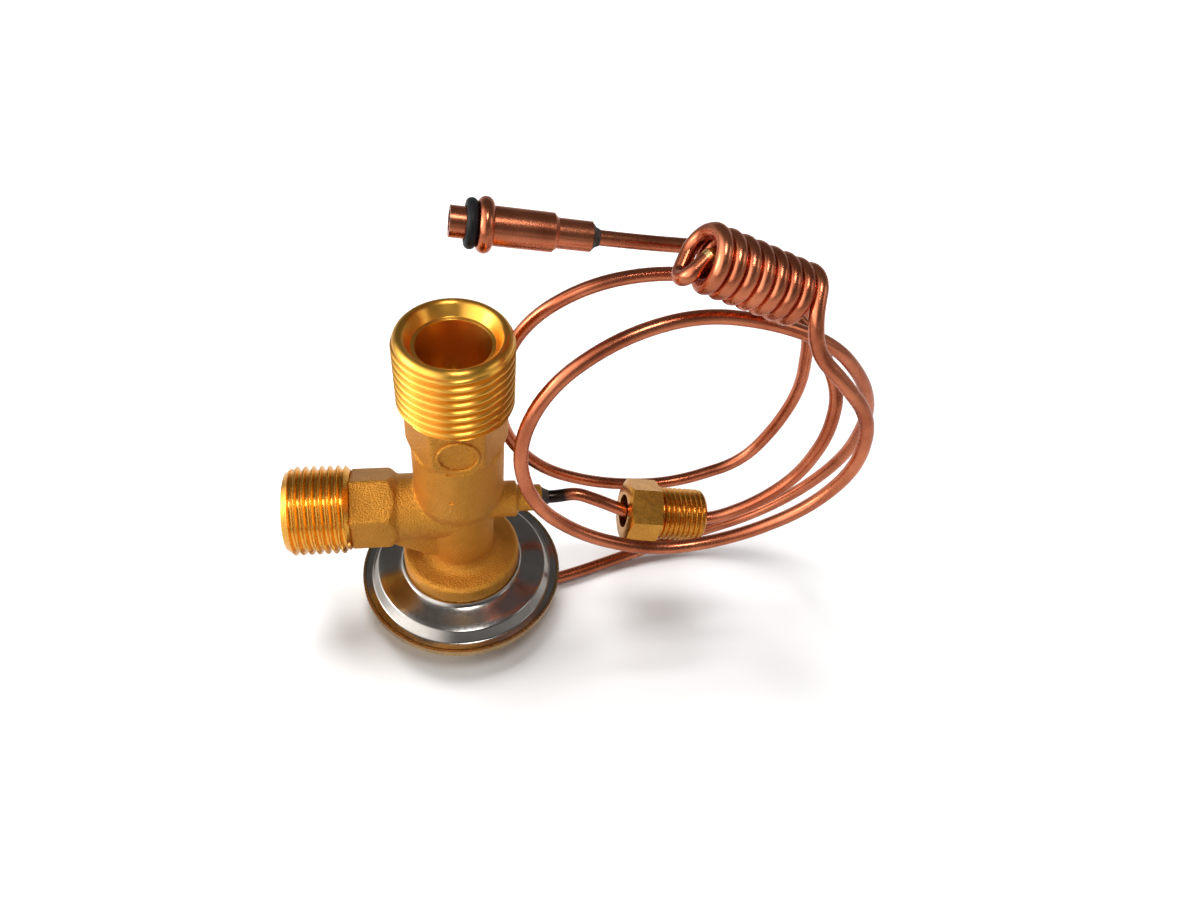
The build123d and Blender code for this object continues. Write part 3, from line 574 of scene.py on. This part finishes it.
def drawn_copper(name, scorch_centre=None, scorch_radii=(0.0, 0.0)):
    """Copper with tarnish in patches, scorched black round a brazed joint; millimetres."""
    material = metal(name, (0.68, 0.215, 0.105), (0.44, 0.115, 0.052), 2600, 130,
                     (0.23, 0.29), 0.002)
    if scorch_centre:
        tree = material.node_tree
        base_colour = tree.nodes["Principled BSDF"].inputs["Base Color"]
        place = tree.nodes.new("ShaderNodeTexCoord").outputs["Object"]
        reach = measured(tree, "DISTANCE", place, [value * MM for value in scorch_centre])
        fade = mapped(tree, reach, [radius * MM for radius in scorch_radii], (1.0, 0.0))
        black = tree.nodes.new("ShaderNodeMix")
        black.data_type = "RGBA"
        feed(tree, black.inputs["Factor"], fade)
        feed(tree, black.inputs["A"], base_colour.links[0].from_socket)
        feed(tree, black.inputs["B"], (0.035, 0.026, 0.022, 1))
        feed(tree, base_colour, black.outputs["Result"])
    return material


finish_node("capillary_tube", drawn_copper("capillary_copper"))
finish_node("equaliser_tube", drawn_copper("equaliser_copper", (16.9, 0, -39.0), (2.6, 4.2)))
scorched = metal("scorched_braze", (0.10, 0.075, 0.06), (0.05, 0.04, 0.035), 2200, 500,
                 (0.45, 0.65), 0.05, 0.6)
gold_braze = metal("gold_braze", (0.80, 0.56, 0.24), (0.62, 0.38, 0.15), 2200, 500,
                   (0.28, 0.42), 0.03)
finish_node("equaliser_braze", scorched)
finish_node("coupling_braze", scorched)
finish_node("capillary_braze", gold_braze)
finish_node("coil_end_seal", gold_braze)


# ---------------------------------------------------------------- coupling
# A short copper stub, swaged over the line, with a rolled bead that the nut presses on and a
# rubber ring on its spigot.

finish_node("coupling_stub", drawn_copper("coupling_copper", (21.1, 9.0, 11.9), (0.6, 2.2)))
rubber, tree, shader = shader_material("ring_rubber")
shader.inputs["Base Color"].default_value = (0.007, 0.007, 0.008, 1)
shader.inputs["Roughness"].default_value = 0.5
shader.inputs["Specular IOR Level"].default_value = 0.25
finish_node("coupling_o_ring", rubber)
finish_node("rod_seal_ring", rubber)


# ---------------------------------------------------------------- loose nut
# A brass male nut, turned from hexagon bar, that slides on the equaliser line until the coupling
# is pushed home.

nut_brass = metal("nut_brass", (0.76, 0.35, 0.055), (0.66, 0.29, 0.043), 1000, 260,
                  (0.24, 0.30), 0.002)
hexagon_face = Vector((30.6, -1.2, -42.8)) * MM
thread_face = Vector((45.8, -1.6, -45.0)) * MM
nut_length = (thread_face - hexagon_face).length
hexagon_length = 6.2 * MM
thread_length = nut_length - hexagon_length
nut_axis = (thread_face - hexagon_face).normalized()
nut_radius = 5.0 * MM
nut_bore = 3.15 * MM
nut_envelope = thread_envelope(nut_radius, -thread_length, 4.2 * MM, 1.0, 0.70 * MM, 1.0)
nut_rings = [(4.25 * MM, 0), (3.45 * MM, 0), (nut_bore, -0.3 * MM),
             (nut_bore, -thread_length + trim), (nut_bore, -thread_length - 0.3 * MM),
             (4.0 * MM, -thread_length - 0.3 * MM)]
nut_thread_mesh = turned_port("nut_thread", nut_radius, 1.0 * MM, -thread_length - 0.2 * MM,
                              -0.02 * MM, -0.8 * MM, nut_envelope, nut_rings, sides=72,
                              per_pitch=14)
nut_turn = nut_axis.to_track_quat("Z", "Y").to_matrix().to_4x4()
nut_thread_mesh.transform(Matrix.Translation(thread_face) @ nut_turn)
nut_thread = link_object("nut_thread", nut_thread_mesh)
smooth_by_angle(nut_thread)

nut_hexagon = link_object("nut_hexagon", cut_copy("tube_nut", [
    (hexagon_face + nut_axis * (hexagon_length - trim), nut_axis)]))
smooth_by_angle(nut_hexagon)
for piece in (nut_hexagon, nut_thread):
    piece.data.materials.append(nut_brass)
    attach(piece, "nut")
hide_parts("tube_nut")
